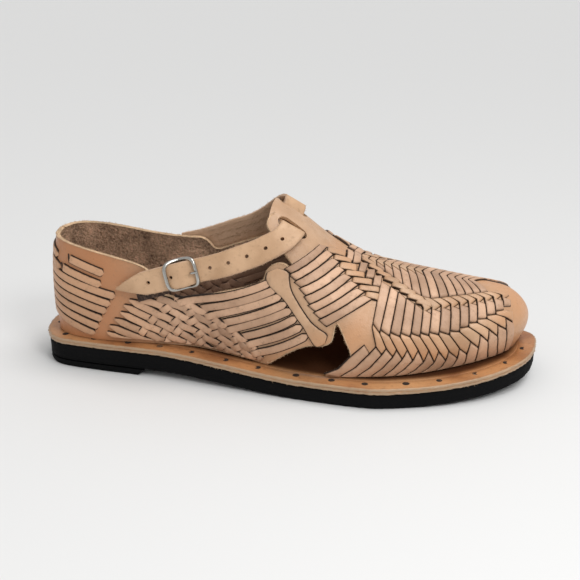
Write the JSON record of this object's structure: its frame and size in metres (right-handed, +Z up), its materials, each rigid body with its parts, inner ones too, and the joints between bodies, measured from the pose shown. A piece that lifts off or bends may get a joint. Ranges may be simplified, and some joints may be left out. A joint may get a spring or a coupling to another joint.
{
  "type": "huarache sandal",
  "caption": "Woven leather huarache sandal for the right foot, with side cut-outs, a buckled ankle strap through a saddle tab, a leather sole and a tyre-rubber outsole.",
  "frame": {"origin": "middle of the bounding box at the ground, so z = 0 is the plane the shoe stands on", "axes": "+X from heel to toe, +Y towards the medial side (the inner side of the right foot), +Z up"},
  "size_m": [0.294, 0.1064, 0.1013],
  "materials": {
    "tyre_rubber": "matt cut tyre rubber",
    "sole_leather": "oiled vegetable-tanned leather with raw edges",
    "woven_leather": "natural vegetable-tanned leather, woven in strips, light sheen",
    "strap_leather": "natural vegetable-tanned leather with raw edges",
    "nickel": "polished nickel plate, slightly worn"
  },
  "bodies": {
    "root": {"outsole": "tyre_rubber", "heel_lift": "tyre_rubber", "leather_sole": "sole_leather", "upper": "woven_leather", "ankle_strap": "strap_leather", "buckle_anchor": "strap_leather", "buckle_frame": "nickel", "buckle_prong": "nickel"}
  },
  "joints": []
}
